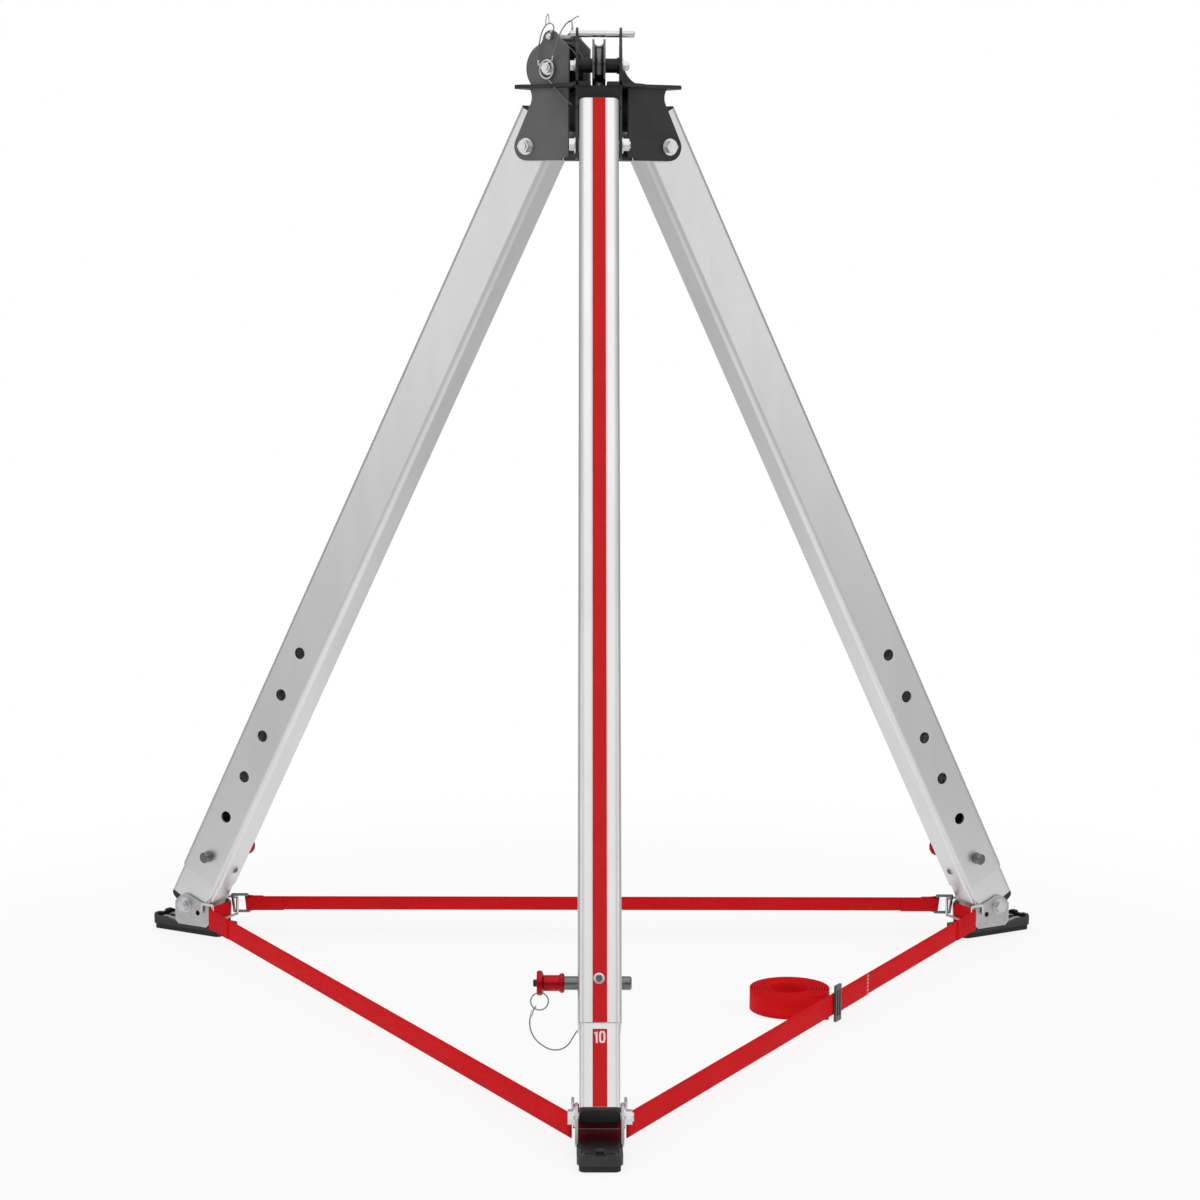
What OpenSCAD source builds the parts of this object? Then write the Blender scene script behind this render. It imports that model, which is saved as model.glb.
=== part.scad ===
// Rescue tripod: three telescopic legs on a plate head with two rope sheaves,
// swivelling feet and an adjustable webbing loop that ties the feet together.
// The legs stand 120 degrees apart, the front one towards -Y.

/* [Legs] */
// Angle of each leg from the vertical when spread
splay = 28; // [24:1:32]
// Hinge bolt to foot pivot, legs fully in
leg_len = 1485; // [1400:5:1600]
// Width of the square outer tube
tube_w = 60; // [56:1:64]
// Wall of both tubes
tube_wall = 2; // [1.6:0.1:3]
// Outer corner radius of the outer tube
tube_corner = 10; // [8:0.5:12]
// Gap between the inner and the outer tube, each side
slide_gap = 0.3; // [0.2:0.05:0.5]
// Outer tube above the hinge bolt
tube_top = 64; // [54:1:66]
// Foot pivot below the end of the two rear outer tubes
rear_reach = 61; // [48:1:80]
// How much shorter the front leg's outer tube is
front_short = 62; // [0:1:80]
// Length of the inner tubes
inner_len = 1150; // [1080:10:1200]

/* [Height holes] */
// Diameter of the cross holes
hole_d = 20; // [19.6:0.1:22]
// Distance from hole to hole
hole_pitch = 85; // [80:1:90]
// Cross holes in each outer tube
outer_holes = 6; // [4:1:8]
// Cross holes in each inner tube
inner_holes = 11; // [7:1:12]
// Lowest hole above the end of the outer tube, rear legs
rear_hole_rise = 42; // [36:1:50]
// Lowest hole above the end of the outer tube, front leg
front_hole_rise = 60; // [50:1:66]

/* [Lock pins] */
// Diameter of a lock pin
pin_d = 19; // [17:0.1:19.2]
// Pin tip past the tube
pin_tip = 14; // [10:1:20]
// Bare shank between the tube and the knob
pin_neck = 18; // [12:1:24]
// Length of the knob
knob_len = 38; // [34:1:44]
// Diameter of the knob's outer flange
knob_flange_d = 34; // [30:1:38]
// Diameter of the knob's waist
knob_waist_d = 22; // [20:0.5:24]
// Diameter of the release button
button_d = 10; // [8:0.5:11]
// Travel of the release button
button_travel = 4; // [3:0.5:5]

/* [Head] */
// Hinge bolt from the tripod's axis
hinge_r = 110; // [106:1:120]
// Thickness of the side plates
plate_t = 4; // [3:0.5:5]
// Play of the leg between its side plates, each side
plate_gap = 1.5; // [1:0.25:2.5]
// Side plates' inner edge from the tripod's axis
plate_in = 34; // [33:0.5:38]
// Round of the side plates at the hinge bolt
hinge_round = 22; // [20:1:24]
// Underside of the top plate above the hinge bolts
top_rise = 90; // [86:1:96]
// Thickness of the top plate
top_t = 6; // [5:0.5:8]
// Tip of the wings from the tripod's axis
wing_r = 138; // [134:1:144]
// Width of the wings
wing_w = 84; // [80:1:90]
// Diameter of the anchor eye in each wing
eye_d = 20; // [16:1:22]
// Opening for the rope in the middle of the head
rope_hole_d = 76; // [60:1:78]
// Diameter of the head's bottom ring
ring_d = 108; // [104:1:116]
// Diameter of the leg hinge bolts and foot bolts
bolt_d = 12; // [10:1:14]

/* [Sheaves] */
// Outer diameter of the rope sheaves
sheave_d = 80; // [72:1:80]
// Width of the sheaves
sheave_w = 20; // [18:1:24]
// Depth of the rope groove
groove_depth = 10; // [8:0.5:12]
// Sheave axle from the tripod's axis
axle_r = 70; // [68:1:72]
// Sheave axle above the hinge bolts
axle_rise = 121; // [119:1:126]
// Diameter of the sheave axles
axle_d = 10; // [8:1:12]
// Diameter of the spacers beside a sheave
spacer_d = 22; // [18:1:26]
// Keeper pin above the sheave axle
keeper_rise = 48; // [47:1:52]
// Diameter of the keeper pins
keeper_d = 10; // [8:0.5:11]
// Length of the keeper pins
keeper_len = 100; // [96:1:116]

/* [Feet] */
// Foot pivot above the floor
pivot_h = 52; // [48:1:60]
// Thickness of the foot bracket
bracket_t = 4; // [3:0.5:5]
// Play between the inner leg and the bracket, each side
bracket_gap = 1.5; // [1:0.25:2.5]
// Toe of the foot from its pivot
toe = 78; // [72:1:86]
// Heel of the foot from its pivot
heel = 70; // [68:1:76]
// Width of the foot plate
foot_w = 62; // [58:1:70]
// Thickness of the rubber pad
pad_t = 9; // [7:1:11]
// Thickness of the foot plate
foot_t = 7; // [6:0.5:9]
// Height of the raised lip round the toe
rim_h = 10; // [6:1:12]
// Wire of the strap bails
bail_d = 5; // [4:0.5:6]

/* [Webbing] */
// Width of the webbing
web_w = 35; // [30:1:36]
// Thickness of the webbing
web_t = 2; // [1.5:0.1:2.4]
// Turns in the coil of spare webbing
coil_turns = 8; // [5:1:9]
// Outer diameter of the coil
coil_d = 132; // [126:1:140]
// Inner diameter of the coil
coil_hole_d = 60; // [48:1:64]

/* [Hidden] */
$fn = 64;
// The clearance of a turning fit, and of pieces that are set into each other
fit = 0.05;
// The three legs: azimuth, name side and which side the knob is on
front = -90;
right = 30;
left = 150;

tube_drop = leg_len - rear_reach;
function knob_side(leg) = leg == right ? 1 : -1;
function drop(leg) = tube_drop - (leg == front ? front_short : 0);
function hole_rise(leg) = leg == front ? front_hole_rise : rear_hole_rise;
function pin_z(leg) = hole_rise(leg) - drop(leg);
// Each keeper pin sits a little to one side
function keeper_shift(leg) = leg == front ? 5 : -6;

// Places that follow from the driving sizes
hinge_z = pivot_h + leg_len * cos(splay);
foot_r = hinge_r + leg_len * sin(splay);
tube_half = tube_w / 2;
inner_w = tube_w - 2 * tube_wall - 2 * slide_gap;
inner_half = inner_w / 2;
inner_corner = tube_corner - tube_wall - slide_gap;
plate_y = tube_half + plate_gap;
plate_out = plate_y + plate_t;
clevis_y = inner_half + bracket_gap;
clevis_out = clevis_y + bracket_t;
bolt_r = bolt_d / 2;
top_z = top_rise + top_t;
sheave_r = sheave_d / 2;
keeper_z = axle_rise + keeper_rise;
keeper_r = axle_r - 4;
ring_t = 4;
tray_z = pad_t + foot_t;
foot_half = foot_w / 2;
foot_corner = 12;
// The keyhole for a ground peg: its round end and the end of its slot
peg_at = 46;
peg_end = 62;
peg_r = 9;
slot_r = 4.5;

// Lock pin stations along its own axis, measured from the tube's middle
pin_r = pin_d / 2;
neck_end = tube_half + pin_neck;
knob_end = neck_end + knob_len;
stem_end = neck_end + 12;
stem_r = 7;
button_out = 5;

// The feet's outline is centred on the origin, so the tripod's axis is set back by this
toe_edge = foot_half - foot_corner;
rear_toe_y = (foot_r + toe - foot_corner) * sin(right) + toe_edge * cos(right) + foot_corner;
rear_pin_r = hinge_r - pin_z(right) * sin(splay);
rear_knob_y = rear_pin_r * sin(right) + (knob_end + button_out) * cos(right);
rear_flange_y = rear_pin_r * sin(right) + knob_end * cos(right) + knob_flange_d / 2 * sin(right);
rear_y = max(rear_toe_y, rear_knob_y, rear_flange_y);
axis_y = (foot_r + toe - rear_y) / 2;

// End of the inner tube and the plug below it, above and below the foot pivot
tube_end = 6;
plug_end = 9;
plug_in = 30;

// Bail: profile points seen from the side, from the foot pivot, and half its width
bail_pts = [[-38, 44], [-38, 58], [-60.5, 58], [-60.5, 28]];
bail_half = clevis_out + bail_d / 2 + 0.5;

// Webbing: it runs behind each foot inside the bail, and turns at the bail's two posts
web_in = -54;
web_side = bail_half + 1.8;
strap_z = tray_z + 2;
front_dip = 14;
run_z = strap_z - front_dip;
function foot_plan(leg, out, side) = [
    (foot_r + out) * cos(leg) - side * sin(leg),
    (foot_r + out) * sin(leg) + side * cos(leg),
];
left_turn = foot_plan(left, web_in, web_side);
left_tip = foot_plan(left, web_in, -24);
right_turn = foot_plan(right, web_in, -web_side);
right_tip = foot_plan(right, web_in, 24);
front_left = foot_plan(front, web_in, -web_side);
front_right = foot_plan(front, web_in, web_side);
// The buckle's place on the right run, and the rings that the back strap hangs on
buckle_share = 0.537;
buckle_at = front_right + buckle_share * (right_turn - front_right);
buckle_z = run_z + buckle_share * front_dip;
buckle_w = 20;
buckle_h = 58;
ring_y = 405;
ring_x = 622.4;
ring_z = 48;
back_lean = 36;
// The coil of spare webbing stands on the floor beside the right run
coil_at = [312, -98];
coil_floor = 0.5;

// Lock pin lanyard: points on the front leg, from the pin, as out, across and along
lanyard_pts = [
    [0, -91, -38], [0, -95, -50], [-2, -94, -64], [-4, -87, -77], [-6, -76, -86], [-10, -64, -90],
    [-15, -52, -88], [-21, -43, -81], [-28, -36, -70], [-34, -29, -57], [-34, -22, -46], [-32, -18, -38],
];
lanyard_d = 2;

// Keeper lanyards: points in the frame of the left bracket, as radius, across and above the hinge
left_lanyard_pts = [
    [85.5, 41, 122.5], [88, 41, 132], [88, 41, 146], [84, 41, 160], [78, 40.5, 173], [72, 40, 182],
    [67.5, 40, 182], [66, 40, 175],
];
front_lanyard_pts = [
    [60, 41, 131], [54, 46, 144], [46, 53, 160], [37, 60, 174], [27, 66, 185], [18, 71.5, 191],
    [9, 75.5, 190], [4, 77.2, 183], [2.5, 77.7, 175],
];

// Swept tube: a ring of points at each route point, square to the route
tube_sides = 8;
function unit(v) = v / norm(v);
function heading(p, i) = unit(p[min(i + 1, len(p) - 1)] - p[max(i - 1, 0)]);
function across(t) = unit(cross(t, abs(t[2]) < 0.9 ? [0, 0, 1] : [1, 0, 0]));
function ring_at(c, t, r) =
    let (u = across(t), v = cross(t, u))
    [for (k = [0 : tube_sides - 1])
        c + r * (cos(360 * k / tube_sides) * u + sin(360 * k / tube_sides) * v)];

module swept_tube(p, d) {
    n = tube_sides;
    last = (len(p) - 1) * n;
    polyhedron(
        points = [for (i = [0 : len(p) - 1]) each ring_at(p[i], heading(p, i), d / 2)],
        faces = concat(
            [[for (k = [0 : n - 1]) k]],
            [for (i = [0 : len(p) - 2], k = [0 : n - 1])
                [i * n + k, (i + 1) * n + k, (i + 1) * n + (k + 1) % n]],
            [for (i = [0 : len(p) - 2], k = [0 : n - 1])
                [i * n + k, (i + 1) * n + (k + 1) % n, i * n + (k + 1) % n]],
            [[for (k = [n - 1 : -1 : 0]) last + k]]
        )
    );
}

// Coil of webbing: one strip that winds out at a steady rate and ends in a straight tail
coil_steps = 24;
coil_in = coil_hole_d / 2;
coil_pitch = (coil_d / 2 - coil_in - web_t) / coil_turns;
function coil_point(i, off) =
    let (a = 360 * i / coil_steps - 90, r = coil_in + off + coil_pitch * i / coil_steps)
    [r * cos(a), r * sin(a)];
coil_inner = [for (i = [0 : coil_turns * coil_steps]) coil_point(i, 0)];
coil_outer = [for (i = [0 : coil_turns * coil_steps]) coil_point(i, web_t)];
coil_tail = 56;
coil_end = coil_d / 2 - web_t;
coil_gap = min([for (i = [0 : (coil_turns - 1) * coil_steps])
    norm(coil_inner[i + coil_steps] - coil_outer[i])]);
echo(least_gap_in_coil = coil_gap);

// The tripod's axis, and each leg's own plane: X runs out, Y across, Z up
module at_axis() translate([0, axis_y, 0]) children();
module on_leg(leg) at_axis() rotate([0, 0, leg]) children();
module at_hinges(leg) on_leg(leg) translate([0, 0, hinge_z]) children();
module along_leg(leg) at_hinges(leg) translate([hinge_r, 0, 0]) rotate([0, -splay, 0]) children();
module at_pin(leg) along_leg(leg) translate([0, 0, pin_z(leg)]) children();
module at_foot(leg) on_leg(leg) translate([foot_r, 0, 0]) children();

// A cylinder across the leg, centred, or from one station to another
module cross_rod(r, length) rotate([90, 0, 0]) cylinder(r = r, h = length, center = true);
module cross_span(r, from, to) translate([0, from, 0]) rotate([-90, 0, 0]) cylinder(r = r, h = to - from);

module rounded_square(w, r) {
    square([w - 2 * r, w], center = true);
    square([w, w - 2 * r], center = true);
    for (x = [-1, 1], y = [-1, 1]) translate([x, y] * (w / 2 - r)) circle(r);
}

module rounded_prism(w, r, low, high)
    translate([0, 0, low]) linear_extrude(high - low) rounded_square(w, r);

module square_tube(w, r, low, high)
    difference() {
        rounded_prism(w, r, low, high);
        rounded_prism(w - 2 * tube_wall, r - tube_wall, low - 1, high + 1);
    }

// A plate in the leg's plane at one station across it, drawn as radius and height
module leg_plate(from, thick)
    translate([0, from + thick, 0]) rotate([90, 0, 0]) linear_extrude(thick) children();

// A bent wire: straight runs with round bends
module wire(p, d) {
    for (i = [0 : len(p) - 2]) {
        run = p[i + 1] - p[i];
        translate(p[i])
            rotate([0, acos(run[2] / norm(run)), atan2(run[1], run[0])])
                cylinder(d = d, h = norm(run), $fn = 24);
    }
    for (i = [1 : len(p) - 2]) translate(p[i]) sphere(d = d, $fn = 24);
}

// A bolt across the leg with its washers and nut, around plates of this outer width
module cross_bolt(d, half) {
    washer_t = 2;
    washer_d = 2.2 * d;
    head_w = 1.75 * d;
    head_h = 0.65 * d;
    nut_h = 0.75 * d;
    seat = half + washer_t;
    cross_span(d / 2, -seat, seat + nut_h + 2);
    translate([0, -seat - head_h, 0]) rotate([-90, 0, 0]) cylinder(d = head_w, h = head_h, $fn = 6);
    difference() {
        union() {
            cross_span(washer_d / 2, -seat, -half);
            cross_span(washer_d / 2, half, seat);
            translate([0, seat, 0]) rotate([-90, 0, 0]) cylinder(d = head_w, h = nut_h, $fn = 6);
        }
        cross_rod(d / 2, 4 * half);
    }
}

// Head

module lower_outline() {
    waist_r = 24;
    neck_h = 36;
    foot_in = plate_in + 12;
    translate([hinge_r, 0]) circle(hinge_round);
    difference() {
        polygon([
            [plate_in, ring_t - hinge_round], [foot_in, ring_t - hinge_round],
            [foot_in, -hinge_round], [hinge_r, -hinge_round],
            [hinge_r + hinge_round * cos(30), hinge_round * sin(30)],
            [hinge_r - 2, top_rise - neck_h], [hinge_r - 2, top_rise], [plate_in, top_rise],
        ]);
        translate([hinge_r + 14, top_rise - 14]) circle(waist_r);
    }
}

module cheek_outline() {
    arm_round = 14;
    intersection() {
        translate([axle_r, axle_rise]) circle(sheave_r);
        translate([plate_in, top_rise]) square([2 * sheave_r + 10, 2 * sheave_r]);
    }
    translate([plate_in, top_rise - 1]) square([axle_r - plate_in, axle_rise - top_rise]);
    translate([keeper_r, keeper_z - 4]) circle(arm_round);
    polygon([
        [plate_in, axle_rise], [plate_in, keeper_z - 17], [keeper_r - arm_round + 1, keeper_z + 1],
        [keeper_r + arm_round, keeper_z - 4], [axle_r + 16, keeper_z - 14], [axle_r + 22, axle_rise],
    ]);
}

module side_plate(from, cheek) {
    difference() {
        leg_plate(from, plate_t) {
            lower_outline();
            if (cheek) cheek_outline();
        }
        translate([hinge_r, 0, 0]) cross_rod(bolt_r + fit, 4 * plate_out);
        if (cheek) {
            translate([axle_r, 0, axle_rise]) cross_rod(axle_d / 2 + fit, 4 * plate_out);
            translate([keeper_r, 0, keeper_z]) cross_rod(keeper_d / 2 + 0.4, 4 * plate_out);
        }
    }
}

// Cross bar between the side plates, over the leg's top end
bar_low = 20;
bar_r = hinge_r - 14;
module bracket(leg, cheek)
    color([0.13, 0.13, 0.14]) at_hinges(leg) {
        side_plate(plate_y, cheek);
        side_plate(-plate_out, cheek);
        translate([bar_r, -plate_y, top_rise - bar_low]) cube([plate_t, 2 * plate_y, bar_low]);
    }

module front_bracket() bracket(front, true);
module left_bracket() bracket(left, true);
module right_bracket() bracket(right, false);

module wing_outline() {
    corner = 24;
    translate([0, -wing_w / 2]) square([wing_r - corner, wing_w]);
    translate([0, corner - wing_w / 2]) square([wing_r, wing_w - 2 * corner]);
    for (s = [-1, 1]) translate([wing_r - corner, s * (wing_w / 2 - corner)]) circle(corner);
}

// The top plate: hub, two wings with anchor eyes, a short front tongue, rope hole and slots
module head_top_plate() {
    hub_r = 74;
    eye_r = wing_r - 20;
    rib_t = 6;
    rib_h = 24;
    rib_in = rope_hole_d / 2 + 4;
    rib_len = 39;
    slot_w = sheave_w + 5;
    color([0.1, 0.1, 0.11]) at_axis() translate([0, 0, hinge_z]) difference() {
        union() {
            translate([0, 0, top_rise]) cylinder(r = hub_r, h = top_t);
            for (leg = [right, left]) rotate([0, 0, leg])
                translate([0, 0, top_rise]) linear_extrude(top_t) wing_outline();
            rotate([0, 0, front]) translate([0, -plate_out - 4, top_rise])
                cube([hinge_r - 6, 2 * plate_out + 8, top_t]);
            rotate([0, 0, right]) leg_plate(-rib_t / 2, rib_t) difference() {
                translate([rib_in, top_z - 1]) square([rib_len, rib_h + 1]);
                translate([rib_in + rib_len + 0.3, top_z + rib_len - 1]) circle(rib_len - 1);
            }
        }
        translate([0, 0, top_rise - 1]) cylinder(d = rope_hole_d, h = top_t + 2);
        for (leg = [right, left]) rotate([0, 0, leg])
            translate([eye_r, 0, top_rise - 1]) cylinder(d = eye_d, h = top_t + 2);
        for (leg = [front, left]) rotate([0, 0, leg]) {
            translate([0, -slot_w / 2, top_rise - 1]) cube([axle_r + sheave_r - 4, slot_w, top_t + 2]);
            for (y = [plate_y, -plate_out]) translate([plate_in - fit, y - fit, top_rise - 1])
                cube([2 * sheave_r, plate_t + 2 * fit, top_t + 2]);
        }
    }
}

// The ring that joins the side plates, let in flush with their lower edges
module head_bottom_ring()
    color([0.1, 0.1, 0.11]) at_axis() translate([0, 0, hinge_z - hinge_round]) difference() {
        cylinder(d = ring_d, h = ring_t);
        translate([0, 0, -1]) cylinder(d = rope_hole_d, h = ring_t + 2);
    }

module hinge_bolts()
    color([0.8, 0.8, 0.82]) for (leg = [front, right, left])
        at_hinges(leg) translate([hinge_r, 0, 0]) cross_bolt(bolt_d, plate_out);

module sheave_axles()
    color([0.8, 0.8, 0.82]) for (leg = [front, left])
        at_hinges(leg) translate([axle_r, 0, axle_rise]) cross_bolt(axle_d, plate_out);

// Spacers beside the sheaves, each with a six-sided collar against its plate
module sheave_spacers() {
    gap = 0.3;
    collar_d = spacer_d + 6;
    collar_t = 4;
    color([0.1, 0.1, 0.1]) for (leg = [front, left], s = [-1, 1])
        at_hinges(leg) translate([axle_r, 0, axle_rise]) scale([1, s, 1]) difference() {
            union() {
                cross_span(spacer_d / 2, sheave_w / 2 + gap, plate_y);
                translate([0, plate_y - collar_t, 0]) rotate([-90, 0, 0])
                    cylinder(d = collar_d, h = collar_t, $fn = 6);
            }
            cross_rod(axle_d / 2 + fit, 4 * plate_y);
        }
}

// A sheave: turned profile with a round rope groove and a thinner web
module sheave(leg) {
    rim_w = 3;
    web_in = 4;
    groove_r = (sheave_w - 2 * rim_w) / 2;
    hub_r = spacer_d / 2 + 2;
    at_hinges(leg) translate([axle_r, 0, axle_rise]) rotate([90, 0, 0]) difference() {
        translate([0, 0, -sheave_w / 2]) cylinder(r = sheave_r, h = sheave_w);
        rotate_extrude() translate([sheave_r - groove_depth + groove_r, 0]) {
            circle(groove_r);
            translate([0, -groove_r]) square([groove_depth, 2 * groove_r]);
        }
        for (s = [-1, 1]) translate([0, 0, s * (sheave_w / 2 - web_in / 2 + 0.5)]) difference() {
            cylinder(r = sheave_r - groove_depth, h = web_in + 1, center = true);
            cylinder(r = hub_r, h = web_in + 2, center = true);
        }
        cylinder(r = axle_d / 2 + fit, h = sheave_w + 2, center = true);
    }
}

module front_sheave() color([0.72, 0.73, 0.75]) sheave(front);
module left_sheave() color([0.72, 0.73, 0.75]) sheave(left);

// A keeper pin: chamfered rod with a cross hole for its lanyard near one end
module keeper_pin(leg, hole_side) {
    chamfer = 1.5;
    half = keeper_len / 2;
    at_hinges(leg) translate([keeper_r, keeper_shift(leg), keeper_z]) difference() {
        rotate([90, 0, 0]) rotate_extrude() polygon([
            [0, -half], [keeper_d / 2 - chamfer, -half], [keeper_d / 2, -half + chamfer],
            [keeper_d / 2, half - chamfer], [keeper_d / 2 - chamfer, half], [0, half],
        ]);
        translate([0, hole_side * (half - 4), 0]) cylinder(d = 2.6, h = keeper_d + 2, center = true);
    }
}

module front_keeper_pin() color([0.78, 0.78, 0.8]) keeper_pin(front, -1);
module left_keeper_pin() color([0.78, 0.78, 0.8]) keeper_pin(left, 1);

// Two wire lanyards and the ring round the left axle's nut that holds them
module keeper_lanyards() {
    link_d = 3;
    link_r = 13;
    color([0.75, 0.75, 0.78]) at_hinges(left) {
        swept_tube(left_lanyard_pts, lanyard_d);
        swept_tube(front_lanyard_pts, lanyard_d);
        translate([axle_r, plate_out + 5, axle_rise - 2.5]) rotate([90, 0, 0])
            rotate_extrude() translate([link_r, 0]) circle(d = link_d, $fn = 24);
    }
}

// Legs

module outer_tube(leg)
    color([0.82, 0.83, 0.85]) along_leg(leg) difference() {
        square_tube(tube_w, tube_corner, -drop(leg), tube_top);
        for (k = [0 : outer_holes - 1])
            translate([0, 0, pin_z(leg) + k * hole_pitch]) cross_rod(hole_d / 2, tube_w + 2);
        cross_rod(bush_r + fit, tube_w + 2);
    }

module front_outer_tube() outer_tube(front);
module right_outer_tube() outer_tube(right);
module left_outer_tube() outer_tube(left);

// The bush that the leg turns on, set across the tube
bush_r = 10;
module hinge_bush(leg) {
    end_play = 0.3;
    color([0.85, 0.84, 0.78]) along_leg(leg) difference() {
        cross_rod(bush_r, 2 * (plate_y - end_play));
        cross_rod(bolt_r + fit, 2 * plate_y + 2);
    }
}

module front_hinge_bush() hinge_bush(front);
module right_hinge_bush() hinge_bush(right);
module left_hinge_bush() hinge_bush(left);

module inner_tube(leg) {
    low = tube_end - leg_len;
    color([0.86, 0.87, 0.88]) along_leg(leg) difference() {
        square_tube(inner_w, inner_corner, low, low + inner_len);
        for (k = [0 : inner_holes - 1])
            translate([0, 0, pin_z(leg) + k * hole_pitch]) cross_rod(hole_d / 2, inner_w + 2);
    }
}

module front_inner_tube() inner_tube(front);
module right_inner_tube() inner_tube(right);
module left_inner_tube() inner_tube(left);

// The plug in the end of the inner tube, with the bore for the foot bolt
module end_plug(leg) {
    core_w = inner_w - 2 * tube_wall - 2 * fit;
    nose = 10;
    shoulder = 2;
    color([0.08, 0.08, 0.08]) along_leg(leg) translate([0, 0, -leg_len]) difference() {
        union() {
            intersection() {
                rounded_prism(inner_w, inner_corner, -plug_end, tube_end);
                leg_plate(-inner_half, inner_w) polygon([
                    [inner_half, tube_end], [inner_half, shoulder], [nose, -plug_end],
                    [-nose, -plug_end], [-inner_half, shoulder], [-inner_half, tube_end],
                ]);
            }
            rounded_prism(core_w, inner_corner - tube_wall, tube_end - 1, tube_end + plug_in);
        }
        cross_rod(bolt_r + fit, 2 * inner_w);
    }
}

module front_end_plug() end_plug(front);
module right_end_plug() end_plug(right);
module left_end_plug() end_plug(left);

// Lock pins

module lock_pin(leg) {
    tip = tube_half + pin_tip;
    chamfer = 2;
    ball_d = 6;
    ball_proud = 0.3;
    color([0.6, 0.6, 0.62]) at_pin(leg) scale([1, -knob_side(leg), 1]) {
        rotate([-90, 0, 0]) rotate_extrude() polygon([
            [0, -stem_end], [stem_r, -stem_end], [stem_r, -neck_end], [pin_r, -neck_end],
            [pin_r, tip - chamfer], [pin_r - chamfer, tip], [0, tip],
        ]);
        for (s = [-1, 1]) translate([s * (pin_r - ball_d / 2 + ball_proud), tip - 7, 0]) sphere(d = ball_d);
    }
}

module front_lock_pin() lock_pin(front);
module right_lock_pin() lock_pin(right);
module left_lock_pin() lock_pin(left);

// The knob: a spool with two flanges, bored for the stem and the button
module pin_knob(leg) {
    waist = knob_waist_d / 2;
    big = knob_flange_d / 2;
    small = waist + 2.5;
    bevel = 1.5;
    color([0.62, 0.04, 0.07]) at_pin(leg) scale([1, -knob_side(leg), 1]) difference() {
        rotate([90, 0, 0]) rotate_extrude() polygon([
            [stem_r, neck_end], [small - bevel, neck_end], [small, neck_end + bevel],
            [small, neck_end + 5], [waist, neck_end + 8], [waist, knob_end - 10],
            [big, knob_end - 7], [big, knob_end - bevel], [big - bevel, knob_end],
            [button_d / 2 + 0.3, knob_end], [button_d / 2 + 0.3, stem_end], [stem_r, stem_end],
        ]);
        translate([0, -knob_end + ring_in, -ring_hole_r]) cross_rod(1.8, 13);
    }
}

module front_pin_knob() pin_knob(front);
module right_pin_knob() pin_knob(right);
module left_pin_knob() pin_knob(left);

module pin_button(leg) {
    rear_room = 1;
    low = stem_end + rear_room + button_travel;
    color([0.1, 0.1, 0.1]) at_pin(leg) scale([1, -knob_side(leg), 1]) rotate([90, 0, 0]) rotate_extrude()
        polygon([
            [0, low], [button_d / 2, low], [button_d / 2, knob_end + button_out - 1],
            [button_d / 2 - 1, knob_end + button_out], [0, knob_end + button_out],
        ]);
}

module front_pin_button() pin_button(front);
module right_pin_button() pin_button(right);
module left_pin_button() pin_button(left);

// Ring through the knob's flange, and the wire lanyard from it to the back of the tube
ring_hole_r = 13.5;
ring_in = 4;
split_ring_r = 12;
module front_pin_ring()
    color([0.75, 0.75, 0.78]) at_pin(front)
        translate([0, -knob_end + ring_in, -ring_hole_r - split_ring_r + 0.2]) rotate([0, 90, 0])
            rotate_extrude() translate([split_ring_r, 0]) circle(d = 2, $fn = 24);

module front_pin_lanyard()
    color([0.7, 0.7, 0.72]) at_pin(front) swept_tube(lanyard_pts, lanyard_d);

// Feet

floor_in = -44;
floor_out = 17;
low_corner = 6;
module bracket_outline() {
    side_in = floor_in - low_corner;
    side_out = floor_out + low_corner;
    translate([0, pivot_h]) circle(19);
    polygon([
        [side_in, tray_z + low_corner], [floor_in, tray_z], [floor_out, tray_z],
        [side_out, tray_z + low_corner], [side_out, pivot_h + 4], [14, pivot_h + 13],
        [-6, pivot_h + 18], [side_in + 4, pivot_h + 2], [side_in, pivot_h - 2],
    ]);
}

// The keyhole for a ground peg, larger by a margin
module peg_hole(margin, low, high) {
    r = slot_r + margin;
    translate([0, 0, low]) linear_extrude(high - low) {
        translate([peg_at, 0]) circle(peg_r + margin);
        translate([peg_at, -r]) square([peg_end - peg_at, 2 * r]);
        translate([peg_end, 0]) circle(r);
    }
}

// A bent U bracket: two side plates, the floor between them and a tongue towards the toe
module foot_bracket(leg) {
    tongue_out = 66;
    tongue_half = 24;
    color([0.55, 0.56, 0.58]) at_foot(leg) difference() {
        union() {
            leg_plate(clevis_y, bracket_t) bracket_outline();
            leg_plate(-clevis_out, bracket_t) bracket_outline();
            translate([floor_in, -clevis_y, tray_z]) cube([floor_out - floor_in, 2 * clevis_y, bracket_t]);
            translate([floor_out - 1, -tongue_half, tray_z])
                cube([tongue_out - floor_out + 1, 2 * tongue_half, bracket_t]);
        }
        peg_hole(1, tray_z - 1, tray_z + bracket_t + 1);
        translate([0, 0, pivot_h]) cross_rod(bolt_r + fit, 4 * clevis_out);
        translate([-26, 0, pivot_h - 12]) cross_rod(4.5, 4 * clevis_out);
        translate([bail_pts[0][0], 0, bail_pts[0][1]]) cross_rod(bail_d / 2 + fit, 4 * clevis_out);
    }
}

module front_foot_bracket() foot_bracket(front);
module right_foot_bracket() foot_bracket(right);
module left_foot_bracket() foot_bracket(left);

// Outline of a foot: a block with rounded corners, drawn in by a margin
module foot_outline(margin) {
    r = foot_corner - margin;
    half = foot_half - margin;
    low = margin - heel;
    high = toe - margin;
    translate([low + r, -half]) square([high - low - 2 * r, 2 * half]);
    translate([low, r - half]) square([high - low, 2 * (half - r)]);
    for (x = [low + r, high - r], s = [-1, 1]) translate([x, s * (half - r)]) circle(r);
}

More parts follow.
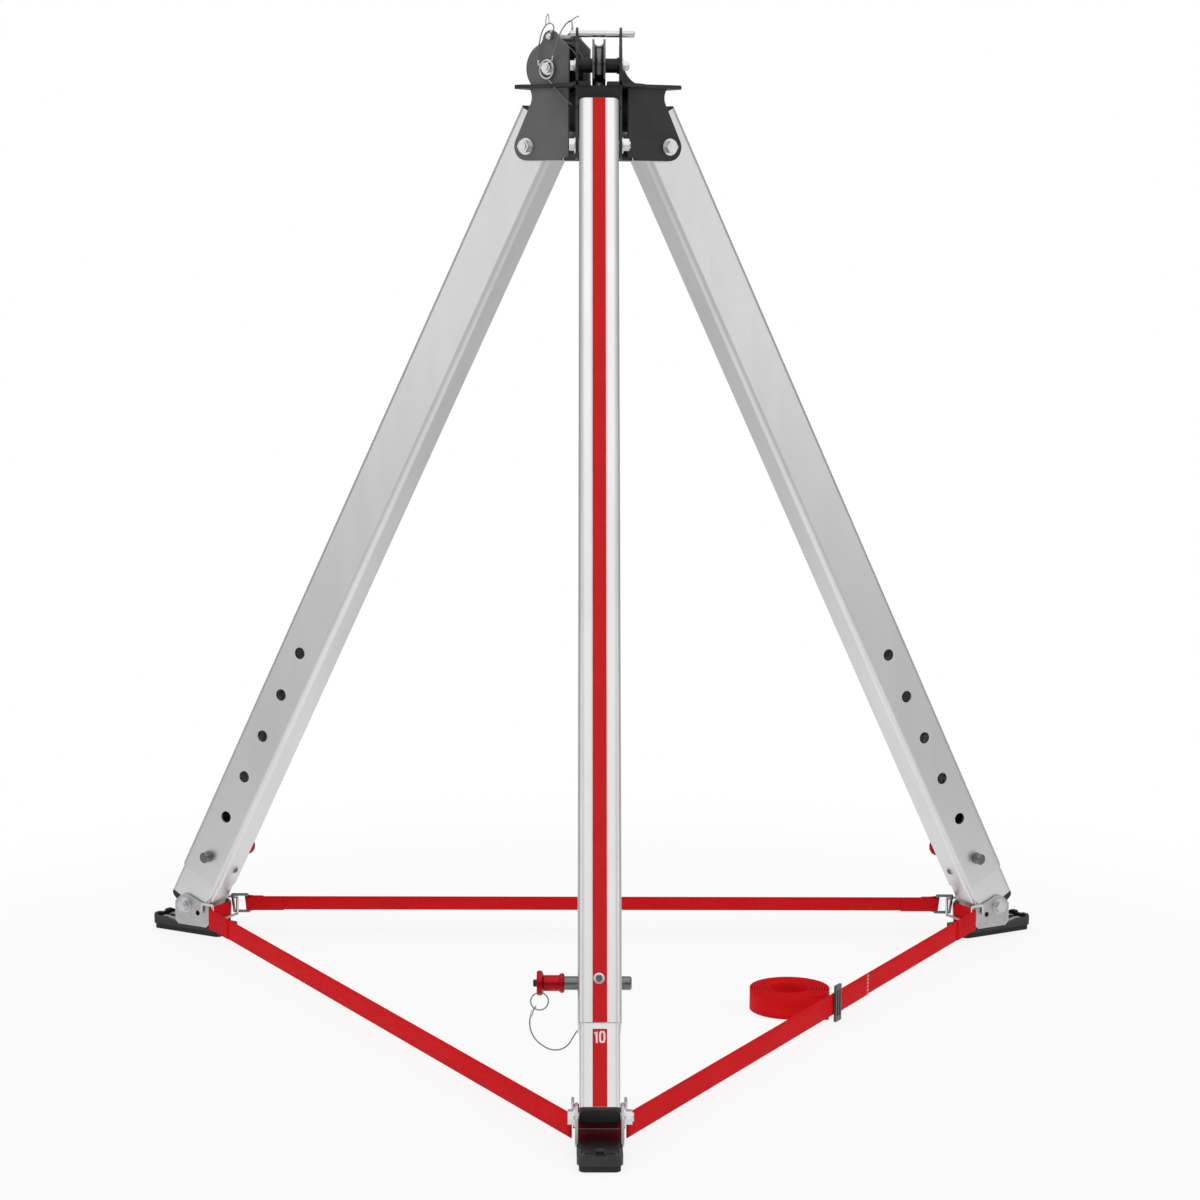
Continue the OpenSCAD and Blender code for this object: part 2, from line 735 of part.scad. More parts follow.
// The foot plate: a lip that rises towards the toe, with a notch in it, and a keyhole
module foot_plate(leg) {
    lip_t = 6;
    lip_start = 24;
    lip_full = 60;
    lip_low = 3;
    lip_top = 41;
    notch_w = 16;
    notch_h = 2.5;
    color([0.09, 0.09, 0.09]) at_foot(leg) difference() {
        union() {
            translate([0, 0, pad_t]) linear_extrude(foot_t) foot_outline(0);
            translate([0, 0, tray_z - 1]) intersection() {
                linear_extrude(rim_h + 1) difference() {
                    foot_outline(0);
                    foot_outline(lip_t);
                }
                leg_plate(-foot_half, foot_w) polygon([
                    [lip_start, 0], [toe, 0], [toe, rim_h + 1], [lip_full, rim_h + 1], [lip_start, lip_low],
                ]);
                translate([lip_start, 0, 0]) rotate([90, 0, 90]) linear_extrude(toe) polygon([
                    [-foot_half, 0], [foot_half, 0], [foot_half, lip_low + 1], [lip_top / 2, rim_h + 1],
                    [-lip_top / 2, rim_h + 1], [-foot_half, lip_low + 1],
                ]);
            }
        }
        translate([toe - lip_t - 1, -notch_w / 2, tray_z + rim_h - notch_h])
            cube([lip_t + 2, notch_w, rim_h]);
        peg_hole(0, 0, 2 * tray_z);
    }
}

module front_foot_plate() foot_plate(front);
module right_foot_plate() foot_plate(right);
module left_foot_plate() foot_plate(left);

module foot_pad(leg) {
    margin = 3;
    color([0.05, 0.05, 0.05]) at_foot(leg) difference() {
        linear_extrude(pad_t) foot_outline(margin);
        peg_hole(1, -1, pad_t + 1);
    }
}

module front_foot_pad() foot_pad(front);
module right_foot_pad() foot_pad(right);
module left_foot_pad() foot_pad(left);

module foot_bolt(leg)
    color([0.8, 0.8, 0.82]) at_foot(leg) translate([0, 0, pivot_h])
        cross_bolt(bolt_d, clevis_out);

module front_foot_bolt() foot_bolt(front);
module right_foot_bolt() foot_bolt(right);
module left_foot_bolt() foot_bolt(left);

// The wire bail that holds the webbing: ends in the bracket, over the webbing and down behind it
module bail(leg) {
    n = len(bail_pts);
    near = [for (p = bail_pts) [p[0], bail_half, p[1]]];
    far = [for (i = [n - 1 : -1 : 0]) [bail_pts[i][0], -bail_half, bail_pts[i][1]]];
    ends = [bail_pts[0][0], clevis_y, bail_pts[0][1]];
    color([0.75, 0.75, 0.78]) at_foot(leg)
        wire(concat([ends], near, far, [[ends[0], -ends[1], ends[2]]]), bail_d);
}

module front_bail() bail(front);
module right_bail() bail(right);
module left_bail() bail(left);

// Webbing

// A ribbon on edge along a route in plan
module ribbon(p, low) {
    n = len(p) - 1;
    along = [for (i = [0 : n]) unit(p[min(i + 1, n)] - p[max(i - 1, 0)])];
    side = [for (a = along) web_t / 2 * [-a[1], a[0]]];
    at_axis() translate([0, 0, low]) linear_extrude(web_w) polygon(concat(
        [for (i = [0 : n]) p[i] + side[i]],
        [for (i = [n : -1 : 0]) p[i] - side[i]]
    ));
}

// A straight run of ribbon on edge, its lower edge at one height at each end
module sloping_run(a, b, low_a, low_b) {
    t = unit(b - a);
    s = web_t / 2 * [-t[1], t[0]];
    plan = [a + s, a - s, b - s, b + s];
    low = [low_a, low_a, low_b, low_b];
    at_axis() polyhedron(
        [for (k = [0, web_w], i = [0 : 3]) [plan[i][0], plan[i][1], low[i] + k]],
        [[0, 1, 2, 3], [7, 6, 5, 4], [0, 4, 5, 1], [1, 5, 6, 2], [2, 6, 7, 3], [3, 7, 4, 0]]
    );
}

web_red = [0.8, 0.07, 0.09];
butt = [2, 0];
module left_strap() color(web_red) {
    over = web_t / 2 * unit(front_left - left_turn);
    ribbon([left_tip, left_turn], strap_z);
    sloping_run(left_turn - over, front_left, strap_z, run_z);
}

module front_strap() color(web_red) ribbon([front_left + butt, front_right - butt], strap_z);
module right_strap() color(web_red) sloping_run(front_right, buckle_at, run_z, buckle_z);

module buckle_strap() color(web_red) {
    over = web_t / 2 * unit(right_turn - buckle_at);
    sloping_run(buckle_at, right_turn + over, buckle_z, strap_z);
    ribbon([right_turn, right_tip], strap_z);
}

module back_strap() {
    half = ring_x - ring_reach - 3;
    color(web_red) at_axis() translate([0, ring_y, ring_z]) rotate([back_lean, 0, 0])
        cube([2 * half, web_t, web_w], center = true);
}

module strap_coil()
    color(web_red) at_axis() translate([coil_at[0], coil_at[1], coil_floor])
        linear_extrude(web_w) polygon(concat(
            coil_inner,
            [[coil_tail, -coil_end], [coil_tail, -coil_end - web_t]],
            [for (i = [len(coil_outer) - 1 : -1 : 0]) coil_outer[i]]
        ));

// The ladder buckle: a flat frame with two slots and a middle bar, across the webbing
module strap_buckle() {
    frame_t = 4;
    bar = 4;
    run = right_turn - front_right;
    turn = atan2(run[1], run[0]);
    slot = (buckle_w - 3 * bar) / 2;
    color([0.3, 0.3, 0.31]) at_axis() translate([buckle_at[0], buckle_at[1], coil_floor])
        rotate([0, 0, turn]) translate([-buckle_w / 2, -frame_t - web_t, 0]) difference() {
            cube([buckle_w, frame_t, buckle_h]);
            for (k = [0, 1]) translate([bar + k * (slot + bar), -1, 2 * bar])
                cube([slot, frame_t + 2, buckle_h - 4 * bar]);
        }
}

// A rectangular wire ring, linked with the bail and leaning with the back strap
ring_reach = 13;
module strap_ring(x) {
    wire_d = 5;
    half = (web_w + 10) / 2;
    reach = ring_reach;
    color([0.6, 0.6, 0.62]) at_axis() translate([x, ring_y, ring_z]) rotate([back_lean, 0, 0])
        wire([
            [reach, 0, 0], [reach, 0, half], [-reach, 0, half],
            [-reach, 0, -half], [reach, 0, -half], [reach, 0, 0],
        ], wire_d);
}

module left_strap_ring() strap_ring(-ring_x);
module right_strap_ring() strap_ring(ring_x);

head_top_plate();
head_bottom_ring();
front_bracket();
left_bracket();
right_bracket();
hinge_bolts();
sheave_axles();
sheave_spacers();
front_sheave();
left_sheave();
front_keeper_pin();
left_keeper_pin();
keeper_lanyards();
front_outer_tube();
right_outer_tube();
left_outer_tube();
front_hinge_bush();
right_hinge_bush();
left_hinge_bush();
front_inner_tube();
right_inner_tube();
left_inner_tube();
front_end_plug();
right_end_plug();
left_end_plug();
front_lock_pin();
right_lock_pin();
left_lock_pin();
front_pin_knob();
right_pin_knob();
left_pin_knob();
front_pin_button();
right_pin_button();
left_pin_button();
front_pin_ring();
front_pin_lanyard();
front_foot_bracket();
right_foot_bracket();
left_foot_bracket();
front_foot_plate();
right_foot_plate();
left_foot_plate();
front_foot_pad();
right_foot_pad();
left_foot_pad();
front_foot_bolt();
right_foot_bolt();
left_foot_bolt();
front_bail();
right_bail();
left_bail();
left_strap();
front_strap();
right_strap();
buckle_strap();
back_strap();
strap_coil();
strap_buckle();
left_strap_ring();
right_strap_ring();
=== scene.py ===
import math

import bmesh
import bpy
from mathutils import Matrix, Vector


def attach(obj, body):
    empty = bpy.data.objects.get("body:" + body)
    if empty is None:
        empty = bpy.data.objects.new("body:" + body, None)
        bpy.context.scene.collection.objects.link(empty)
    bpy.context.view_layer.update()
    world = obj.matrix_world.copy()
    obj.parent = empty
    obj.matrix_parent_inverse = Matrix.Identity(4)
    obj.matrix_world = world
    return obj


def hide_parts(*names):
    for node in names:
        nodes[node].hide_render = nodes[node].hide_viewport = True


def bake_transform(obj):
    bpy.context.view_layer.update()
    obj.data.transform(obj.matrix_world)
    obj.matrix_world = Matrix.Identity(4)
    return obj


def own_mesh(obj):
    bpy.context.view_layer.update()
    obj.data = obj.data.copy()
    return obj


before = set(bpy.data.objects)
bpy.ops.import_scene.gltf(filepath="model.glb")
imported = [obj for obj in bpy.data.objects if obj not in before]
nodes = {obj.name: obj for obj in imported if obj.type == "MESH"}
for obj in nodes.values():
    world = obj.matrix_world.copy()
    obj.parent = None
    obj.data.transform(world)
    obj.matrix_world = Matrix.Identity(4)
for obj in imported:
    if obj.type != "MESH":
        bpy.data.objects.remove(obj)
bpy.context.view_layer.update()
scene = bpy.context.scene

# Sizes repeated from the part's source, in metres
SPLAY = math.radians(28)
AXIS_Y = 0.210064
HINGE_R = 0.110
HINGE_Z = 1.363177
FOOT_R = 0.807165
LEG_LEN = 1.485
LEGS = {"front": -90, "right": 30, "left": 150}
TUBE_HALF = 0.030
INNER_HALF = 0.0277
FRONT_DROP = 1.362
FRONT_PIN = -1.302
REAR_PIN = -1.382
WEB_W = 0.035
WEB_T = 0.002
WEB_MID = 0.018 + WEB_W / 2
FRONT_DIP = 0.014
WEB_IN = -0.054
WEB_SIDE = 0.038
RING_X = 0.6224
RING_HALF = 0.013
RING_Y = AXIS_Y + 0.405
RING_Z = 0.048
BACK_LEAN = math.radians(36)
BUCKLE_SHARE = 0.537
COIL_AT = (0.312, AXIS_Y - 0.098)
COIL_IN = 0.030
COIL_OUT = 0.066
COIL_TURNS = 8
COIL_TAIL = 0.056
TUBE_TOP = 0.064
AXLE_R = 0.070
AXLE_RISE = 0.121
LANYARD_D = 0.002
# What the scene adds to the square tubes: depth at the front and at the back, a lower top, a longer front end
DEEP = 0.013
TOP_TRIM = {"front": 0.007, "right": 0.015, "left": 0.015}
END_REACH = 0.003
# Stitch rows on the sewn webbing, the thickness of the stripes and the height number, and the round on the plate's
# edges
STITCH_ROWS = (-0.03, -0.02, -0.01, 0.0, 0.01, 0.02, 0.03)
STRIPE_T = 0.00012
NUMBER_T = 0.0001
EDGE_ROUND = 0.0008
# Routes in millimetres: the pin lanyard from the front pin, the others from the left hinge's height
PIN_LANYARD = [
    (0, -91, -38), (0, -95, -50), (-2, -94, -64), (-4, -87, -77), (-6, -76, -86), (-10, -64, -90),
    (-15, -52, -88), (-22, -43, -81), (-32, -37, -70), (-44, -31, -58), (-48, -22, -46), (-45.5, -18, -38),
]
LEFT_LANYARD = [
    (83.5, 41, 124), (85, 41, 134), (85, 41, 146), (83, 41, 159), (80, 41, 171), (76, 41, 180),
    (70, 41, 187), (63, 40.5, 189), (58, 40, 185), (58, 40, 179), (64, 40, 175.2),
]
FRONT_LANYARD = [
    (60, 41, 131), (54, 45.5, 144), (45.5, 51.5, 158), (36, 58, 171), (25.5, 64.5, 181), (14, 71, 187.5),
    (6, 75.5, 189), (2.8, 77.4, 184), (2.5, 77.7, 175),
]
HEAD_LANYARD = [
    (67, 41, 103), (60, 41.5, 96), (51, 41.5, 87), (43, 41, 78.5), (36, 39.5, 71), (31.5, 34, 66), (31, 28, 64),
]


def on_leg(leg):
    return Matrix.Translation((0, AXIS_Y, 0)) @ Matrix.Rotation(math.radians(LEGS[leg]), 4, "Z")


def at_hinges(leg):
    return on_leg(leg) @ Matrix.Translation((0, 0, HINGE_Z))


def along_leg(leg):
    return at_hinges(leg) @ Matrix.Translation((HINGE_R, 0, 0)) @ Matrix.Rotation(-SPLAY, 4, "Y")


def at_foot(leg):
    return on_leg(leg) @ Matrix.Translation((FOOT_R, 0, 0))


def at_pin(leg):
    return along_leg(leg) @ Matrix.Translation((0, 0, FRONT_PIN if leg == "front" else REAR_PIN))


def route(place, points):
    return [place @ (Vector(p) / 1000) for p in points]


def foot_plan(leg, out, side):
    p = at_foot(leg) @ Vector((out, side, 0))
    return Vector((p.x, p.y))


# Camera


def add_camera():
    pitch, yaw, roll = (math.radians(a) for a in (7.75, 0.63, 0.26))
    ahead = Vector((math.sin(yaw) * math.cos(pitch), math.cos(yaw) * math.cos(pitch), -math.sin(pitch)))
    flat = Vector((math.cos(yaw), -math.sin(yaw), 0))
    over = flat.cross(ahead)
    right = flat * math.cos(roll) + over * math.sin(roll)
    up = over * math.cos(roll) - flat * math.sin(roll)
    data = bpy.data.cameras.new("camera")
    data.sensor_width = 36
    data.lens = 85.2
    data.clip_end = 60
    camera = bpy.data.objects.new("camera", data)
    turn = Matrix((right, up, -ahead)).transposed().to_4x4()
    camera.matrix_world = Matrix.Translation((-0.0433, AXIS_Y - 4.5076, 1.259)) @ turn
    scene.collection.objects.link(camera)
    scene.camera = camera


add_camera()


# Node materials


class Mat:
    """A node material with short calls for the nodes that are used here."""

    def __init__(self, name):
        self.m = bpy.data.materials.new(name)
        self.m.use_nodes = True
        self.t = self.m.node_tree
        self.bsdf = self.t.nodes["Principled BSDF"]

    def node(self, kind, **values):
        n = self.t.nodes.new(kind)
        for key, value in values.items():
            if key in n.inputs:
                n.inputs[key].default_value = value
            else:
                setattr(n, key, value)
        return n

    def link(self, a, b):
        self.t.links.new(a, b)

    def set(self, name, value):
        self.bsdf.inputs[name].default_value = value

    def feed(self, name, socket):
        self.link(socket, self.bsdf.inputs[name])

    def coords(self, kind="Object", turn=None, scale=(1, 1, 1)):
        c = self.node("ShaderNodeTexCoord")
        m = self.node("ShaderNodeMapping")
        if turn is not None:
            m.inputs["Rotation"].default_value = turn
        m.inputs["Scale"].default_value = scale
        self.link(c.outputs[kind], m.inputs["Vector"])
        return m.outputs["Vector"]

    def noise(self, at, scale, detail=2.0, rough=0.5):
        n = self.node("ShaderNodeTexNoise", Scale=scale, Detail=detail, Roughness=rough)
        self.link(at, n.inputs["Vector"])
        return n.outputs["Fac"]

    def ramp(self, fac, stops):
        r = self.node("ShaderNodeValToRGB")
        e = r.color_ramp.elements
        e[0].position, e[0].color = stops[0][0], stops[0][1]
        e[1].position, e[1].color = stops[-1][0], stops[-1][1]
        for place, colour in stops[1:-1]:
            e.new(place).color = colour
        self.link(fac, r.inputs["Fac"])
        return r.outputs["Color"]

    def span(self, fac, low, high):
        r = self.node("ShaderNodeMapRange")
        r.inputs["To Min"].default_value = low
        r.inputs["To Max"].default_value = high
        self.link(fac, r.inputs["Value"])
        return r.outputs["Result"]

    def math(self, op, a, b=None):
        n = self.node("ShaderNodeMath", operation=op)
        for socket, value in zip(n.inputs, (a, b)):
            if value is None:
                continue
            if isinstance(value, (int, float)):
                socket.default_value = value
            else:
                self.link(value, socket)
        return n.outputs[0]

    def mix(self, fac, a, b):
        n = self.node("ShaderNodeMix", data_type="RGBA")
        self.link(fac, n.inputs["Factor"])
        for socket, value in ((n.inputs[6], a), (n.inputs[7], b)):
            if isinstance(value, tuple):
                socket.default_value = value
            else:
                self.link(value, socket)
        return n.outputs[2]

    def bump(self, height, strength, distance=0.001):
        n = self.node("ShaderNodeBump", Strength=strength, Distance=distance)
        self.link(height, n.inputs["Height"])
        self.feed("Normal", n.outputs["Normal"])


def grey(v, tint=(1, 1, 1)):
    return (v * tint[0], v * tint[1], v * tint[2], 1)


def tube_metal(name, leg, level):
    """Satin anodised tube: fine drawing lines along the leg, faint cloudy variation, small scuffs."""
    m = Mat(name)
    back = (along_leg(leg).to_3x3()).inverted().to_euler("XYZ")
    lines = m.noise(m.coords("Object", back, (900, 900, 6)), 1.0, 3.0, 0.6)
    clouds = m.noise(m.coords("Object", back, (14, 14, 3)), 1.0, 2.0)
    scuffs = m.noise(m.coords("Object", back, (160, 160, 40)), 1.0, 5.0, 0.7)
    tone = m.ramp(clouds, [(0.3, grey(level * 0.94)), (0.7, grey(level, (1, 1.003, 1.01)))])
    m.feed("Base Color", tone)
    m.set("Metallic", 1.0)
    rough = m.math("ADD", m.span(lines, 0.30, 0.40), m.span(scuffs, -0.03, 0.05))
    m.feed("Roughness", rough)
    m.bump(lines, 0.05, 0.0004)
    return m.m


def steel(name, level, rough, tint=(1, 1, 1.02)):
    """Plated or stainless steel: small blotches and fine scratches."""
    m = Mat(name)
    at = m.coords()
    blotch = m.noise(at, 120, 3.0)
    fine = m.noise(at, 900, 2.0)
    m.feed("Base Color", m.ramp(blotch, [(0.3, grey(level * 0.86, tint)), (0.7, grey(level, tint))]))
    m.set("Metallic", 1.0)
    m.feed("Roughness", m.span(fine, rough - 0.06, rough + 0.08))
    m.bump(fine, 0.04, 0.0003)
    return m.m


def coat(name, dark, light, rough, grain=1500, strength=0.12):
    """Powder coat or textured black finish: orange-peel grain and slight fading."""
    m = Mat(name)
    at = m.coords()
    peel = m.noise(at, grain, 2.0)
    fade = m.noise(at, 18, 3.0)
    m.feed("Base Color", m.ramp(fade, [(0.35, grey(dark)), (0.7, grey(light))]))
    m.feed("Roughness", m.span(peel, rough - 0.08, rough + 0.1))
    m.bump(peel, strength, 0.0004)
    return m.m


def anodised_red():
    m = Mat("red_anodised_knob")
    at = m.coords()
    lathe = m.noise(m.coords("Object", None, (1200, 60, 60)), 1.0, 2.0)
    cloud = m.noise(at, 60, 2.0)
    m.feed("Base Color", m.ramp(cloud, [(0.3, (0.33, 0.004, 0.012, 1)), (0.75, (0.52, 0.008, 0.02, 1))]))
    m.set("Metallic", 0.85)
    m.feed("Roughness", m.span(lathe, 0.2, 0.34))
    m.bump(lathe, 0.05, 0.0003)
    return m.m


def webbing(name="red_webbing"):
    """Woven polyester: ribs across the width, fine warp lines, small fibre noise."""
    m = Mat(name)
    c = m.node("ShaderNodeTexCoord")
    s = m.node("ShaderNodeSeparateXYZ")
    m.link(c.outputs["UV"], s.inputs["Vector"])
    along, over = s.outputs["X"], s.outputs["Y"]
    rib = m.math("ABSOLUTE", m.math("SINE", m.math("MULTIPLY", along, math.pi / 0.0021)))
    shift = m.math("MULTIPLY", m.math("SINE", m.math("MULTIPLY", over, math.pi / 0.0011)), 0.5)
    warp = m.math("ABSOLUTE", m.math("SINE", m.math("MULTIPLY", over, math.pi / 0.0019)))
    cell = m.math("ADD", m.math("MULTIPLY", rib, 0.6), m.math("MULTIPLY", warp, 0.4))
    cell = m.math("ADD", cell, m.math("MULTIPLY", shift, 0.08))
    fibre = m.noise(m.coords("UV", None, (400, 3000, 1)), 1.0, 3.0)
    slow = m.noise(m.coords("UV", None, (9, 30, 1)), 1.0, 2.0)
    base = m.ramp(slow, [(0.3, (0.72, 0.006, 0.010, 1)), (0.7, (0.84, 0.010, 0.014, 1))])
    dark = m.ramp(cell, [(0.05, (0.40, 0.002, 0.004, 1)), (0.6, (0.80, 0.009, 0.013, 1))])
    m.feed("Base Color", m.mix(m.span(cell, 0.15, 0.85), dark, base))
    m.feed("Roughness", m.span(fibre, 0.55, 0.75))
    m.set("Specular IOR Level", 0.08)
    m.bump(m.math("ADD", cell, m.math("MULTIPLY", fibre, 0.25)), 0.5, 0.0005)
    return m.m


def vinyl(name, colour, spread=0.06):
    m = Mat(name)
    at = m.coords()
    soft = m.noise(at, 30, 2.0)
    fine = m.noise(at, 1800, 2.0)
    low = tuple(c * (1 - spread) for c in colour) + (1,)
    m.feed("Base Color", m.ramp(soft, [(0.3, low), (0.7, tuple(colour) + (1,))]))
    m.feed("Roughness", m.span(fine, 0.4, 0.52))
    m.set("Specular IOR Level", 0.12)
    m.bump(fine, 0.03, 0.0002)
    return m.m


def thread(name, dark, light):
    m = Mat(name)
    twist = m.noise(m.coords("Object", None, (2500, 2500, 2500)), 1.0, 2.0)
    m.feed("Base Color", m.ramp(twist, [(0.2, dark), (0.8, light)]))
    m.set("Roughness", 0.8)
    m.bump(twist, 0.4, 0.0003)
    return m.m


MATS = {
    "black": coat("black_powder_coat", 0.012, 0.022, 0.42),
    # A lighter copy of the black coat for the left bracket: painted light on the face that the left lamp lights
    "black_coat_painted_lit": coat("black_powder_coat_painted_lit", 0.115, 0.14, 0.42),
    "black_matte": coat("black_plastic", 0.012, 0.02, 0.5, 2200, 0.08),
    "tray": coat("black_foot_coat", 0.012, 0.022, 0.38, 900, 0.2),
    "rubber": coat("black_rubber", 0.010, 0.018, 0.72, 700, 0.25),
    "steel": steel("bright_steel", 0.72, 0.22),
    "wire": steel("lanyard_wire", 0.34, 0.24),
    "pin": steel("pin_steel", 0.2, 0.16),
    "bracket": steel("bracket_plate", 0.56, 0.36),
    "bronze": steel("bush_bronze", 0.5, 0.35, (1, 0.86, 0.6)),
    "wheel": steel("sheave_dark_metal", 0.16, 0.18),
    "buckle": coat("buckle_grey", 0.05, 0.09, 0.38, 1200, 0.1),
    "knob": anodised_red(),
    "web": webbing(),
    "stripe": vinyl("red_stripe", (0.66, 0.012, 0.014)),
    "white": vinyl("white_stripe", (0.86, 0.86, 0.86)),
    "thread": thread("white_thread", grey(0.55), grey(0.85)),
    "red_thread": thread("red_thread", (0.28, 0.004, 0.006, 1), (0.45, 0.008, 0.012, 1)),
}
for leg in LEGS:
    MATS[leg + "_outer"] = tube_metal(leg + "_outer_metal", leg, 0.80)
    MATS[leg + "_inner"] = tube_metal(leg + "_inner_metal", leg, 0.84)


def paint(obj, material):
    obj.data.materials.clear()
    obj.data.materials.append(material)
    return obj


NODE_MATS = {
    # The left bracket is black like the others; its lighter coat is painted light
    "head_top_plate": "black", "head_bottom_ring": "black", "front_bracket": "black", "left_bracket": "black_coat_painted_lit",
    "right_bracket": "black", "hinge_bolts": "steel", "sheave_axles": "steel", "sheave_spacers": "black_matte",
    "front_sheave": "wheel", "left_sheave": "wheel", "front_keeper_pin": "steel", "left_keeper_pin": "steel",
    "keeper_lanyards": "steel", "front_pin_ring": "wire", "front_pin_lanyard": "steel",
    "strap_buckle": "buckle", "left_strap_ring": "pin", "right_strap_ring": "pin",
}
for leg in LEGS:
    NODE_MATS.update({
        leg + "_outer_tube": leg + "_outer", leg + "_inner_tube": leg + "_inner", leg + "_hinge_bush": "bronze",
        leg + "_end_plug": "black_matte", leg + "_lock_pin": "pin", leg + "_pin_knob": "knob",
        leg + "_pin_button": "black_matte", leg + "_foot_bracket": "bracket", leg + "_foot_plate": "tray",
        leg + "_foot_pad": "rubber", leg + "_foot_bolt": "steel", leg + "_bail": "steel",
    })
for name, key in NODE_MATS.items():
    paint(nodes[name], MATS[key])

# A small round on the edges of the top plate
bevel = nodes["head_top_plate"].modifiers.new("edge", "BEVEL")
bevel.width = EDGE_ROUND
bevel.segments = 2
bevel.limit_method = "ANGLE"
bevel.angle_limit = math.radians(35)


# Mesh helpers


def make(name, verts, faces, material, uvs=None, smooth=True):
    mesh = bpy.data.meshes.new(name)
    mesh.from_pydata([tuple(v) for v in verts], [], faces)
    if uvs is not None:
        layer = mesh.uv_layers.new(name="uv")
        for loop in mesh.loops:
            layer.data[loop.index].uv = uvs[loop.vertex_index]
    mesh.validate()
    bm = bmesh.new()
    bm.from_mesh(mesh)
    bmesh.ops.recalc_face_normals(bm, faces=bm.faces)
    bm.to_mesh(mesh)
    bm.free()
    mesh.polygons.foreach_set("use_smooth", [smooth] * len(mesh.polygons))
    obj = bpy.data.objects.new(name, mesh)
    scene.collection.objects.link(obj)
    paint(obj, material)
    return obj


def resample(points, step):
    """Points along a polyline, at most step apart."""
    out = [points[0].copy()]
    for a, b in zip(points, points[1:]):
        n = max(1, math.ceil((b - a).length / step))
        out += [a.lerp(b, k / n) for k in range(1, n + 1)]
    return out


def rounded(points, radius):
    """A polyline with its inner corners rounded off."""
    out = [points[0]]
    for a, b, c in zip(points, points[1:], points[2:]):
        r = min(radius, (a - b).length / 2, (c - b).length / 2)
        p = b + (a - b).normalized() * r
        q = b + (c - b).normalized() * r
        out += [p * (1 - t) ** 2 + b * 2 * t * (1 - t) + q * t ** 2 for t in (0, 0.2, 0.4, 0.6, 0.8, 1)]
    return out + [points[-1]]


def skin(rings, n):
    """The faces of a closed form through rings of n points each, with a cap on both ends."""
    faces = []
    for i in range(rings - 1):
        for k in range(n):
            a, b = i * n + k, i * n + (k + 1) % n
            faces.append((a, b, b + n, a + n))
    faces.append(tuple(range(n - 1, -1, -1)))
    faces.append(tuple((rings - 1) * n + k for k in range(n)))
    return faces


def ribbon(name, points, across, material, width=WEB_W, thick=WEB_T):
    """A strip of webbing with rolled edges along its centreline; across gives the way of its width."""
    half, t = width / 2, thick / 2
    section = [
        (-half + t * 0.5, t), (-half * 0.5, t), (0, t), (half * 0.5, t), (half - t * 0.5, t), (half, 0),
        (half - t * 0.5, -t), (half * 0.5, -t), (0, -t), (-half * 0.5, -t), (-half + t * 0.5, -t), (-half, 0),
    ]
    verts, uvs, run = [], [], 0.0
    last = len(points) - 1
    for i, p in enumerate(points):
        ahead = (points[min(i + 1, last)] - points[max(i - 1, 0)]).normalized()
        up = (across - ahead * across.dot(ahead)).normalized()
        side = ahead.cross(up)
        if i:
            run += (p - points[i - 1]).length
        for w, d in section:
            verts.append(p + up * w + side * d)
            uvs.append((run, w))
    return make(name, verts, skin(len(points), len(section)), material, uvs)


def tube(name, points, diameter, material, sides=10):
    """A round wire along its centreline, with closed ends."""
    verts, side = [], None
    last = len(points) - 1
    for i, p in enumerate(points):
        ahead = (points[min(i + 1, last)] - points[max(i - 1, 0)]).normalized()
        if side is None:
            side = ahead.orthogonal().normalized()
        side = (side - ahead * side.dot(ahead)).normalized()
        over = ahead.cross(side)
        for k in range(sides):
            a = 2 * math.pi * k / sides
            verts.append(p + (side * math.cos(a) + over * math.sin(a)) * diameter / 2)
    return make(name, verts, skin(len(points), sides), material)


def smooth_route(points, step=0.002):
    """A Catmull-Rom curve through the points, resampled."""
    pts = [points[0] * 2 - points[1]] + points + [points[-1] * 2 - points[-2]]
    out = []
    for p0, p1, p2, p3 in zip(pts, pts[1:], pts[2:], pts[3:]):
        n = max(2, math.ceil((p2 - p1).length / step))
        for k in range(n):
            t = k / n
            out.append(0.5 * (
                2 * p1 + (p2 - p0) * t + (2 * p0 - 5 * p1 + 4 * p2 - p3) * t ** 2
                + (3 * p1 - p0 - 3 * p2 + p3) * t ** 3
            ))
    return out + [points[-1].copy()]


# Studio


